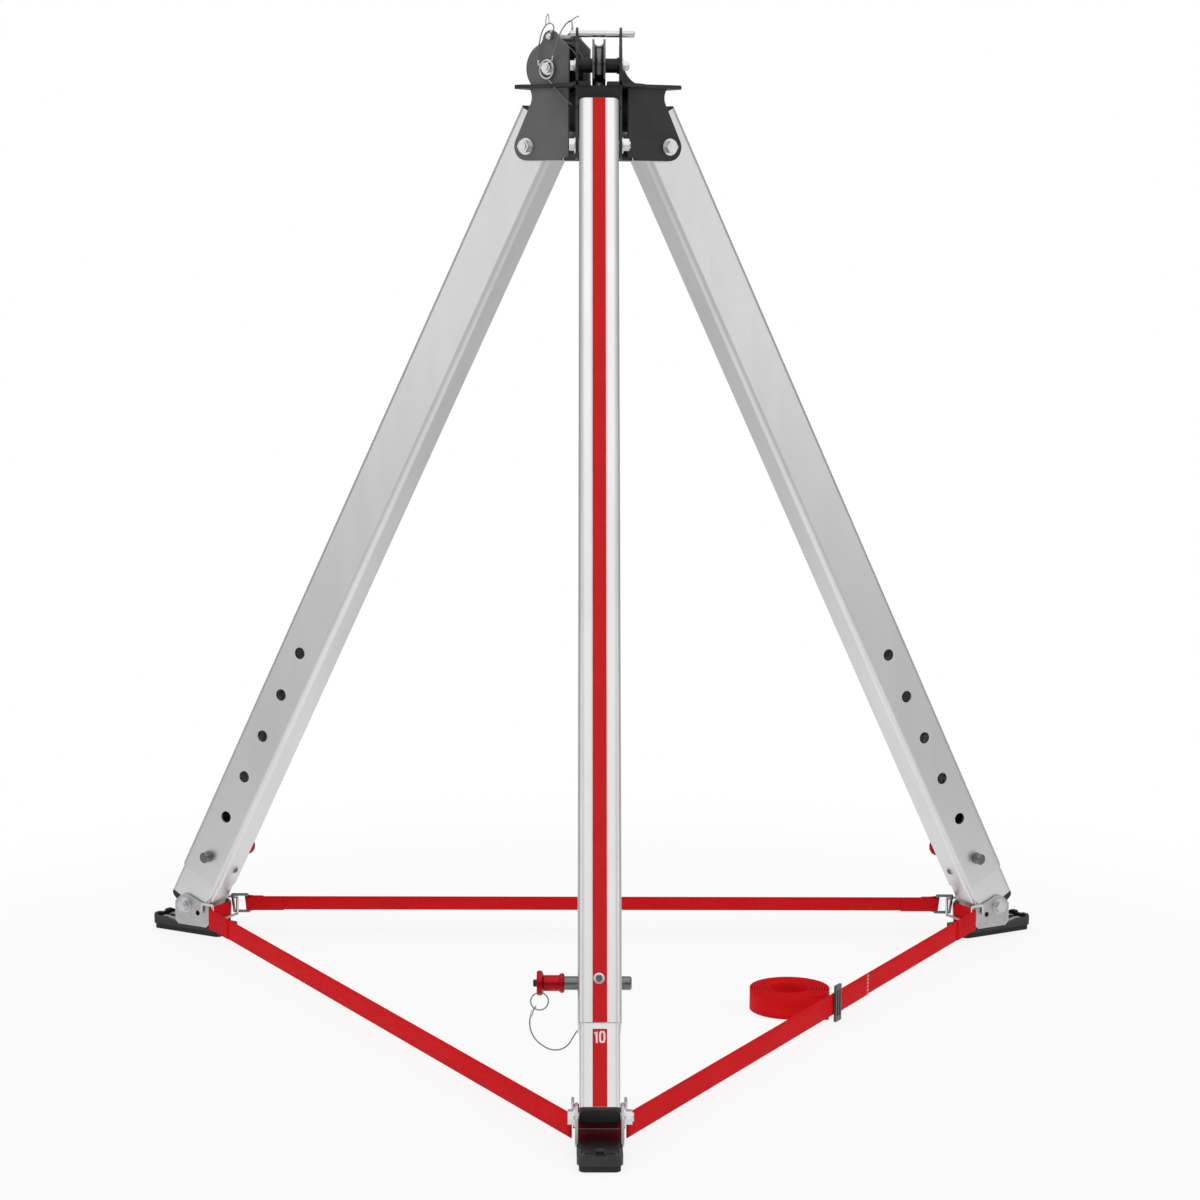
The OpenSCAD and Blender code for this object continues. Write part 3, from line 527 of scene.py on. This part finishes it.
def studio():
    m = Mat("pale_floor")
    at = m.coords()
    grain = m.noise(at, 40, 2.0)
    m.feed("Base Color", m.ramp(grain, [(0.2, grey(0.93)), (0.8, grey(0.95))]))
    m.set("Roughness", 0.9)
    m.set("Specular IOR Level", 0.0)
    # Away from the object the floor fades into the white background
    reach = m.node("ShaderNodeVectorMath", operation="LENGTH")
    m.link(at, reach.inputs[0])
    fade = m.node("ShaderNodeMapRange", interpolation_type="SMOOTHSTEP")
    for key, value in (("From Min", 0.9), ("From Max", 1.9), ("To Min", 0.82)):
        fade.inputs[key].default_value = value
    m.link(reach.outputs["Value"], fade.inputs["Value"])
    rays = m.node("ShaderNodeLightPath")
    shine = rays.outputs["Is Glossy Ray"]
    # In reflections the floor glows with painted light that is brightest under the object
    under = m.node("ShaderNodeMapRange", interpolation_type="SMOOTHSTEP")
    for key, value in (("From Min", 0.4), ("From Max", 1.7), ("To Min", 1.0), ("To Max", 0.58)):
        under.inputs[key].default_value = value
    m.link(reach.outputs["Value"], under.inputs["Value"])
    white = m.node("ShaderNodeEmission", Strength=1.0)
    level = m.math("MAXIMUM", rays.outputs["Is Camera Ray"], under.outputs["Result"])
    m.link(level, white.inputs["Color"])
    both = m.node("ShaderNodeMixShader")
    seen = m.math("MULTIPLY", fade.outputs["Result"], rays.outputs["Is Camera Ray"])
    m.link(m.math("MAXIMUM", seen, shine), both.inputs[0])
    m.link(m.bsdf.outputs[0], both.inputs[1])
    m.link(white.outputs[0], both.inputs[2])
    m.link(both.outputs[0], m.t.nodes["Material Output"].inputs["Surface"])
    floor = make("floor", [(-30, -30, 0), (30, -30, 0), (30, 30, 0), (-30, 30, 0)], [(0, 1, 2, 3)], m.m)

    world = bpy.data.worlds.new("studio")
    scene.world = world
    world.use_nodes = True
    t = world.node_tree
    back = t.nodes["Background"]
    coord = t.nodes.new("ShaderNodeTexCoord")
    split = t.nodes.new("ShaderNodeSeparateXYZ")
    ramp = t.nodes.new("ShaderNodeValToRGB")
    path = t.nodes.new("ShaderNodeLightPath")
    mix = t.nodes.new("ShaderNodeMix")
    mix.data_type = "RGBA"
    t.links.new(coord.outputs["Generated"], split.inputs["Vector"])
    t.links.new(split.outputs["Z"], ramp.inputs["Fac"])
    e = ramp.color_ramp.elements
    e[0].position, e[0].color = 0.0, (0.30, 0.30, 0.31, 1)
    e[1].position, e[1].color = 0.8, (0.78, 0.78, 0.78, 1)
    e.new(0.3).color = (0.42, 0.42, 0.43, 1)
    t.links.new(path.outputs["Is Camera Ray"], mix.inputs["Factor"])
    t.links.new(ramp.outputs["Color"], mix.inputs[6])
    mix.inputs[7].default_value = (1, 1, 1, 1)
    t.links.new(mix.outputs[2], back.inputs["Color"])
    back.inputs["Strength"].default_value = 1.0

    def area(name, at, to, size, power):
        data = bpy.data.lights.new(name, "AREA")
        data.shape = "RECTANGLE"
        data.size, data.size_y = size
        data.energy = power
        light = bpy.data.objects.new(name, data)
        light.location = at
        light.rotation_euler = (Vector(to) - Vector(at)).to_track_quat("-Z", "Y").to_euler()
        scene.collection.objects.link(light)

    area("top_soft", (0, -0.6, 4.2), (0, 0.2, 0.6), (4.5, 4.5), 32)
    area("front_soft", (0, -4.6, 3.6), (0, 0, 0.7), (4.0, 2.0), 12)
    area("left_soft", (-4.2, -1.5, 1.75), (0, 0.2, 0.8), (2.6, 2.6), 15)
    area("right_soft", (4.2, -1.5, 1.75), (0, 0.2, 0.8), (2.6, 2.6), 15)
    scene.view_settings.view_transform = "Standard"
    return floor


floor = studio()


# Webbing

UP = Vector((0, 0, 1))


def lift(p, z=WEB_MID):
    return Vector((p.x, p.y, z))


left_tip = lift(foot_plan("left", WEB_IN, -0.024))
left_turn = lift(foot_plan("left", WEB_IN, WEB_SIDE))
right_turn = lift(foot_plan("right", WEB_IN, -WEB_SIDE))
right_tip = lift(foot_plan("right", WEB_IN, 0.024))
front_left = lift(foot_plan("front", WEB_IN, -WEB_SIDE), WEB_MID - FRONT_DIP)
front_right = lift(foot_plan("front", WEB_IN, WEB_SIDE), WEB_MID - FRONT_DIP)
buckle_at = front_right.lerp(right_turn, BUCKLE_SHARE)


def strap(name, corners, body, node, with_pieces=(), squash_to=None):
    """A run of webbing through the corners, attached to one body."""
    pts = resample(rounded(corners, 0.006), 0.012)
    obj = ribbon(name, pts, UP, MATS["web"])
    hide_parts(node)
    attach(obj, body)
    if squash_to is not None:
        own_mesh(obj)
    return obj


clear = Vector((0.002, 0, 0))
front_strap = strap("webbing_front", [lift(front_left) + clear, lift(front_right) - clear], "front_inner_leg",
                    "front_strap")


def doubled(name, a, b, side, body):
    """A second layer of webbing on one face of a run, from a to b, that tapers into it at b."""
    flat = (b - a).normalized()
    normal = flat.cross(UP) * side
    pts = []
    for k in range(25):
        t = k / 24
        off = WEB_T * 1.02 if t < 0.94 else WEB_T * (1.02 - 0.25 * (t - 0.94) / 0.06)
        off += 0.0006 * math.sin(math.pi * min(t / 0.2, 1)) * (1 if t < 0.2 else 0)
        pts.append(a.lerp(b, t) + normal * off)
    obj = ribbon(name, pts, UP, MATS["web"], WEB_W * 0.985, WEB_T * 0.95)
    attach(obj, body)
    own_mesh(obj)
    return obj, normal * (WEB_T * 1.5)


def stitches(name, at, flat, lift_by, rows, body, material, dash=0.0042):
    """Rows of thread across the webbing: each dash is a small rounded bar."""
    verts, faces = [], []
    normal = lift_by.normalized()
    for row in rows:
        for k in range(6):
            z = -WEB_W / 2 + WEB_W * (k + 0.5) / 6
            c = at + flat * row + lift_by + UP * z
            base = len(verts)
            for end, r in ((-0.5, 0.0002), (-0.4, 0.00045), (0.4, 0.00045), (0.5, 0.0002)):
                for q in range(8):
                    w = 2 * math.pi * q / 8
                    verts.append(c + UP * (end * dash) + (flat * math.cos(w) * 1.3 + normal * math.sin(w)) * r)
            for i in range(3):
                for q in range(8):
                    a, b = base + i * 8 + q, base + i * 8 + (q + 1) % 8
                    faces.append((a, b, b + 8, a + 8))
            faces.append(tuple(base + q for q in range(7, -1, -1)))
            faces.append(tuple(base + 24 + q for q in range(8)))
    obj = make(name, verts, faces, material)
    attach(obj, body)
    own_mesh(obj)
    return obj


right_axis = right_turn - buckle_at
right_flat = right_axis.normalized()
left_axis = front_left - left_turn
left_flat = left_axis.normalized()
sewn, proud = doubled("webbing_buckle_fold", buckle_at + right_flat * 0.004, buckle_at + right_flat * 0.125, 1,
                      "right_inner_leg")
sewn_row = stitches("buckle_stitching", buckle_at + right_flat * 0.116, right_flat, proud, (0.0, 0.004),
                    "right_inner_leg", MATS["thread"])
right_end, proud = doubled("webbing_right_fold", right_turn - right_flat * 0.006, right_turn - right_flat * 0.088, -1,
                           "right_inner_leg")
right_rows = stitches("right_stitching", right_turn - right_flat * 0.05, right_flat, proud, STITCH_ROWS,
                      "right_inner_leg", MATS["red_thread"])
left_end, proud = doubled("webbing_left_fold", left_turn + left_flat * 0.006, left_turn + left_flat * 0.088, 1,
                          "left_inner_leg")
left_rows = stitches("left_stitching", left_turn + left_flat * 0.05, left_flat, proud, STITCH_ROWS,
                     "left_inner_leg", MATS["red_thread"])
strap("webbing_left", [left_tip, left_turn, front_left], "left_inner_leg", "left_strap",
      [front_strap, left_end, left_rows], left_turn)


def gathered_buckle():
    """A copy of the buckle's solid that gathers to the leg with its webbing when the legs fold."""
    obj = bpy.data.objects.new("ladder_buckle", nodes["strap_buckle"].data.copy())
    scene.collection.objects.link(obj)
    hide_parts("strap_buckle")
    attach(obj, "right_inner_leg")
    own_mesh(obj)
    return obj


strap("webbing_buckle_run", [right_tip, right_turn, buckle_at], "right_inner_leg", "buckle_strap",
      [gathered_buckle(), sewn, sewn_row, right_end, right_rows], right_turn)
strap("webbing_right", [buckle_at, front_right], "right_inner_leg", "right_strap", (), right_turn)


def back_run():
    lean = Vector((0, -math.sin(BACK_LEAN), math.cos(BACK_LEAN)))
    half = RING_X - RING_HALF - 0.003
    ends = [Vector((-half, RING_Y, RING_Z)), Vector((half, RING_Y, RING_Z))]
    pts = resample(ends, 0.012)
    obj = ribbon("webbing_back", pts, lean, MATS["web"])
    normal = Vector((1, 0, 0)).cross(lean)
    for side, name in ((-1, "webbing_back_loop_left"), (1, "webbing_back_loop_right")):
        bar = Vector((side * (RING_X - RING_HALF), RING_Y, RING_Z))
        along, wrap = Vector((side, 0, 0)), 0.0037
        turn = [bar - along * 0.062 + normal * 0.0018, bar - along * 0.058 + normal * 0.00205]
        turn += [bar - along * 0.012 + normal * 0.00205, bar - along * 0.006 + normal * 0.0029]
        for k in range(13):
            a = math.pi * (k / 12 - 0.5)
            turn.append(bar + along * (math.cos(a) * wrap) - normal * (math.sin(a) * wrap))
        turn += [bar - along * 0.006 - normal * 0.0029, bar - along * 0.012 - normal * 0.00205]
        turn += [bar - along * 0.024 - normal * 0.00205, bar - along * 0.028 - normal * 0.0018]
        fold = ribbon(name, turn, lean, MATS["web"], WEB_W * 0.985, WEB_T * 0.95)
        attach(fold, "left_inner_leg")
        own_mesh(fold)
    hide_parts("back_strap")
    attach(obj, "left_inner_leg")
    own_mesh(obj)


back_run()


def coil():
    """The spare webbing: a straight tail, then turns from the outside in, on edge just above the floor."""
    pitch = (COIL_OUT - COIL_IN - WEB_T) / COIL_TURNS
    pts = []
    steps, tail_steps = 48, 8
    end, mid = COIL_OUT - WEB_T / 2, 0.0005 + WEB_W / 2
    for k in range(tail_steps):
        pts.append(Vector((COIL_AT[0] + COIL_TAIL * (1 - k / tail_steps), COIL_AT[1] - end, mid)))
    for i in range(COIL_TURNS * steps, -1, -1):
        a = 2 * math.pi * i / steps - math.pi / 2
        r = COIL_IN + WEB_T / 2 + pitch * i / steps
        pts.append(Vector((COIL_AT[0] + r * math.cos(a), COIL_AT[1] + r * math.sin(a), mid)))
    obj = ribbon("webbing_coil", pts, UP, MATS["web"])
    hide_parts("strap_coil")
    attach(obj, "right_inner_leg")
    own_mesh(obj)


coil()


# Lanyards


def lanyard(name, points, node, bodies):
    """A wire lanyard along the points: with one body it is attached to that body, with two it is fixed in place and
    attached to neither.
    """
    pts = smooth_route(points)
    obj = tube(name, pts, LANYARD_D, MATS["wire"])
    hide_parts(node)
    if len(bodies) == 2:
        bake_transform(obj)
    else:
        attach(obj, bodies[0])


def ferrule(name, a, b, body, diameter=0.0042):
    """A pressed sleeve on a wire, with rounded ends and a waist from the press."""
    axis = b - a
    side = axis.orthogonal().normalized()
    over = axis.normalized().cross(side)
    profile = [
        (0, 0.3), (0.04, 0.42), (0.12, 0.5), (0.35, 0.46), (0.5, 0.5), (0.65, 0.46), (0.88, 0.5), (0.96, 0.42),
        (1, 0.3),
    ]
    obj = turned(name, a, axis, side, over, [(t, r * diameter) for t, r in profile], MATS["steel"])
    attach(obj, body)
    return obj


def turned(name, base, axis, side, over, profile, material, sides=20):
    """A lathe form: profile gives the share along the axis and the radius."""
    verts = []
    for t, r in profile:
        for k in range(sides):
            a = 2 * math.pi * k / sides
            verts.append(base + axis * t + (side * math.cos(a) + over * math.sin(a)) * r)
    return make(name, verts, skin(len(profile), sides), material)


def loop(name, centre, u, v, wire, body, material, steps=40):
    """A closed wire ring: u and v are its half axes."""
    verts, faces, sides = [], [], 12
    normal = u.cross(v).normalized()
    for i in range(steps):
        a = 2 * math.pi * i / steps
        out = (u * math.cos(a) + v * math.sin(a))
        p, radial = centre + out, out.normalized()
        for k in range(sides):
            b = 2 * math.pi * k / sides
            verts.append(p + (radial * math.cos(b) + normal * math.sin(b)) * wire / 2)
    for i in range(steps):
        for k in range(sides):
            a, b = i * sides + k, i * sides + (k + 1) % sides
            c, d = (i + 1) % steps * sides + (k + 1) % sides, (i + 1) % steps * sides + k
            faces.append((a, b, c, d))
    obj = make(name, verts, faces, material)
    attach(obj, body)
    return obj


def lanyards():
    pin = at_pin("front")
    pts = route(pin, PIN_LANYARD)
    grip = ferrule("pin_lanyard_sleeve", pts[0], pts[0] + (pts[1] - pts[0]).normalized() * 0.009, "front_pin")
    foot = ferrule("pin_lanyard_tail", pts[-1], pts[-1] + (pts[-2] - pts[-1]).normalized() * 0.009, "front_leg")
    turn = pin.to_3x3()
    out = turn @ Vector((0, -0.578, -0.816))
    eye = loop("pin_lanyard_eye", pts[0] - out * 0.0032, out * 0.0042, turn @ Vector((0.0026, 0, 0)), 0.0014,
               "front_pin", MATS["wire"])
    lanyard("pin_lanyard", pts[::-1], "front_pin_lanyard", ("front_leg", "front_pin"))

    head = at_hinges("left")
    turn = head.to_3x3()
    ring = loop("lanyard_ring", head @ Vector((AXLE_R, 0.0405, AXLE_RISE - 0.0025)), turn @ Vector((0.0122, 0, 0)),
                turn @ Vector((0, 0, 0.0142)), 0.0034, "head", MATS["steel"], 56)
    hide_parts("keeper_lanyards")
    left = route(head, LEFT_LANYARD)
    front = route(head, FRONT_LANYARD)
    down = route(head, HEAD_LANYARD)
    sleeves = [
        ferrule("left_lanyard_sleeve", left[0], left[0] + (left[1] - left[0]).normalized() * 0.009, "head"),
        ferrule("front_lanyard_sleeve", front[0], front[0] + (front[1] - front[0]).normalized() * 0.009, "head"),
        ferrule("head_lanyard_sleeve", down[1], down[1] + (down[2] - down[1]).normalized() * 0.009, "head"),
        ferrule("left_lanyard_end", left[-1], left[-1] + (left[-2] - left[-1]).normalized() * 0.006, "left_keeper",
                0.0036),
        ferrule("front_lanyard_end", front[-1], front[-1] + (front[-2] - front[-1]).normalized() * 0.006,
                "front_keeper", 0.0036),
    ]
    hook = tube("left_lanyard_hook", smooth_route(route(head, [
        (71.5, 41, 186), (71, 41.5, 193), (69, 42, 200), (67, 42, 203.5), (65.4, 42, 199), (65.2, 41.5, 190),
    ]), 0.0015), 0.0013, MATS["wire"])
    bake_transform(hook)
    stub = tube("front_lanyard_stub", smooth_route(route(head, [
        (12, 72, 187), (5, 74, 190.5), (0, 72.5, 194), (-5, 70, 196.5),
    ]), 0.0015), 0.0017, MATS["wire"])
    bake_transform(stub)
    lanyard("left_keeper_lanyard", left, "keeper_lanyards", ("head", "left_keeper"))
    lanyard("front_keeper_lanyard", front, "keeper_lanyards", ("head", "front_keeper"))
    lanyard("head_lanyard", down, "keeper_lanyards", ("head",))


lanyards()


# Leg details


def face_strip(name, place, outline, lift, thick, material, body):
    """A thin flat piece on a tube's outer face: outline gives across and along, in metres."""
    n = len(outline)
    verts = [place @ Vector((lift + d, y, z)) for d in (0, thick) for y, z in outline]
    faces = [tuple(range(n - 1, -1, -1)), tuple(range(n, 2 * n))]
    faces += [(i, (i + 1) % n, (i + 1) % n + n, i + n) for i in range(n)]
    obj = make(name, verts, faces, material, smooth=False)
    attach(obj, body)


def band(half, low, high):
    """The outline of a long strip."""
    edge = [(-half + half * k / 4, low) for k in range(9)]
    return edge + [(half, high), (-half, high)]


def digit_stroke(points, width):
    """The outline of a pen stroke of one width along a line."""
    left, right = [], []
    last = len(points) - 1
    for i, p in enumerate(points):
        a = points[max(i - 1, 0)]
        b = points[min(i + 1, last)]
        d = Vector((b[0] - a[0], b[1] - a[1])).normalized() * width / 2
        left.append((p[0] - d.y, p[1] + d.x))
        right.append((p[0] + d.y, p[1] - d.x))
    return left + right[::-1]


def stripes():
    leg = along_leg("front")
    end, gap, stop = -FRONT_DROP - END_REACH, 0.0085, 0.0062
    top, face, inner = TUBE_TOP - TOP_TRIM["front"], TUBE_HALF + DEEP, INNER_HALF + DEEP
    half, edge = 0.00985, 0.0125
    face_strip("stripe_edge", leg, band(edge, end, top), face, STRIPE_T, MATS["white"], "front_leg")
    face_strip("stripe", leg, band(half, end, top), face + STRIPE_T, STRIPE_T, MATS["stripe"], "front_leg")
    low = stop - LEG_LEN
    face_strip("inner_stripe", leg, band(half, low, end - gap), inner, STRIPE_T, MATS["stripe"],
               "front_inner_leg")
    # The height number: a stroke and a squared ring
    tall, top = 0.0165, end - gap - 0.0028
    lift = inner + STRIPE_T
    one = [(-0.0072, top - 0.0032), (-0.0042, top - 0.0012), (-0.0042, top - tall)]
    face_strip("number_one", leg, digit_stroke(one, 0.0026), lift, NUMBER_T, MATS["white"], "front_inner_leg")
    ring_out, ring_in, n = [], [], 32
    for k in range(n):
        a = 2 * math.pi * k / n
        x, y = (math.copysign(abs(v) ** 0.6, v) for v in (math.cos(a), math.sin(a)))
        ring_out.append((0.0032 + x * 0.0042, top - tall / 2 + y * tall / 2))
        ring_in.append((0.0032 + x * 0.0017, top - tall / 2 + y * (tall / 2 - 0.0025)))
    verts = [leg @ Vector((lift + d, y, z)) for d in (0, NUMBER_T) for y, z in ring_out + ring_in]
    faces = []
    for k in range(n):
        j = (k + 1) % n
        faces += [(k, j, j + n, k + n), (k + 2 * n, k + 3 * n, j + 3 * n, j + 2 * n)]
        faces += [(k, k + 2 * n, j + 2 * n, j), (k + n, j + n, j + 3 * n, k + 3 * n)]
    zero = make("number_zero", verts, faces, MATS["white"], smooth=False)
    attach(zero, "front_inner_leg")


stripes()


def deepen(leg, node, body):
    """A tube or plug drawn out to its full depth, from front to back, over the square solid."""
    place = along_leg(leg)
    back = place.inverted() @ nodes[node].matrix_world
    mesh = nodes[node].data.copy()
    for v in mesh.vertices:
        p = back @ v.co
        if abs(p.x) > 0.015:
            p.x += math.copysign(DEEP, p.x)
        if p.z > TUBE_TOP - 0.002:
            p.z -= TOP_TRIM[leg]
        if node == "front_outer_tube" and p.z < 0.002 - FRONT_DROP:
            p.z -= END_REACH
        v.co = place @ p
    obj = bpy.data.objects.new(node + "_deep", mesh)
    scene.collection.objects.link(obj)
    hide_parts(node)
    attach(obj, body)


for leg in LEGS:
    deepen(leg, leg + "_outer_tube", leg + "_leg")
    deepen(leg, leg + "_inner_tube", leg + "_inner_leg")
    deepen(leg, leg + "_end_plug", leg + "_inner_leg")


def rounded_loop(half, corner, steps=6):
    """The outline of a tube's section, as out and across."""
    pts = []
    for q, (x, y) in enumerate(((1, 1), (-1, 1), (-1, -1), (1, -1))):
        for k in range(steps + 1):
            a = math.pi / 2 * (q + k / steps)
            pts.append((x * (half + DEEP - corner) + corner * math.cos(a), y * (half - corner) + corner * math.sin(a)))
    return pts


def tube_cap(leg):
    """A black plastic cap pressed into the top of the outer tube."""
    place = along_leg(leg)
    levels = [
        (0.0276, 0.0076, -0.012), (0.0278, 0.0078, -0.0004), (0.0298, 0.0098, -0.0002), (0.0300, 0.0100, 0.0004),
        (0.0300, 0.0100, 0.0011), (0.0294, 0.0094, 0.0017), (0.0284, 0.0084, 0.0019),
    ]
    verts = []
    for half, corner, z in levels:
        verts += [place @ Vector((x, y, TUBE_TOP - TOP_TRIM[leg] + z)) for x, y in rounded_loop(half, corner)]
    faces = skin(len(levels), len(verts) // len(levels))
    obj = make(leg + "_tube_cap", verts, faces, MATS["black_matte"])
    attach(obj, leg + "_leg")


def guide_screw(leg, across, along, out):
    """A low round-head screw with a round socket, on a washer, on a face of the outer tube."""
    place = along_leg(leg)
    turn = place.to_3x3()
    axis = turn @ (Vector((out, 0, 0)))
    side, over = turn @ Vector((0, 1, 0)), turn @ Vector((0, 0, 1))
    base = place @ Vector((out * (TUBE_HALF + DEEP), across, along))
    washer = turned(leg + "_guide_washer", base, axis, side, over, [
        (0, 0.0078), (0.0007, 0.0078), (0.0011, 0.0074), (0.0012, 0.0052), (0.0012, 0.0001),
    ], MATS["steel"], 32)
    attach(washer, leg + "_leg")
    head = turned(leg + "_guide_screw", base + axis * 0.0012, axis, side, over, [
        (0, 0.0052), (0.0010, 0.0051), (0.0019, 0.0045), (0.0025, 0.0035), (0.0026, 0.0027), (0.0024, 0.0023),
        (0.0006, 0.0022), (0.0006, 0.0001),
    ], MATS["pin"], 24)
    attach(head, leg + "_leg")


for leg in LEGS:
    tube_cap(leg)
guide_screw("front", -0.001, FRONT_PIN - 0.003, 1)
guide_screw("left", 0.0, REAR_PIN - 0.006, -1)
guide_screw("right", 0.0, REAR_PIN - 0.006, -1)
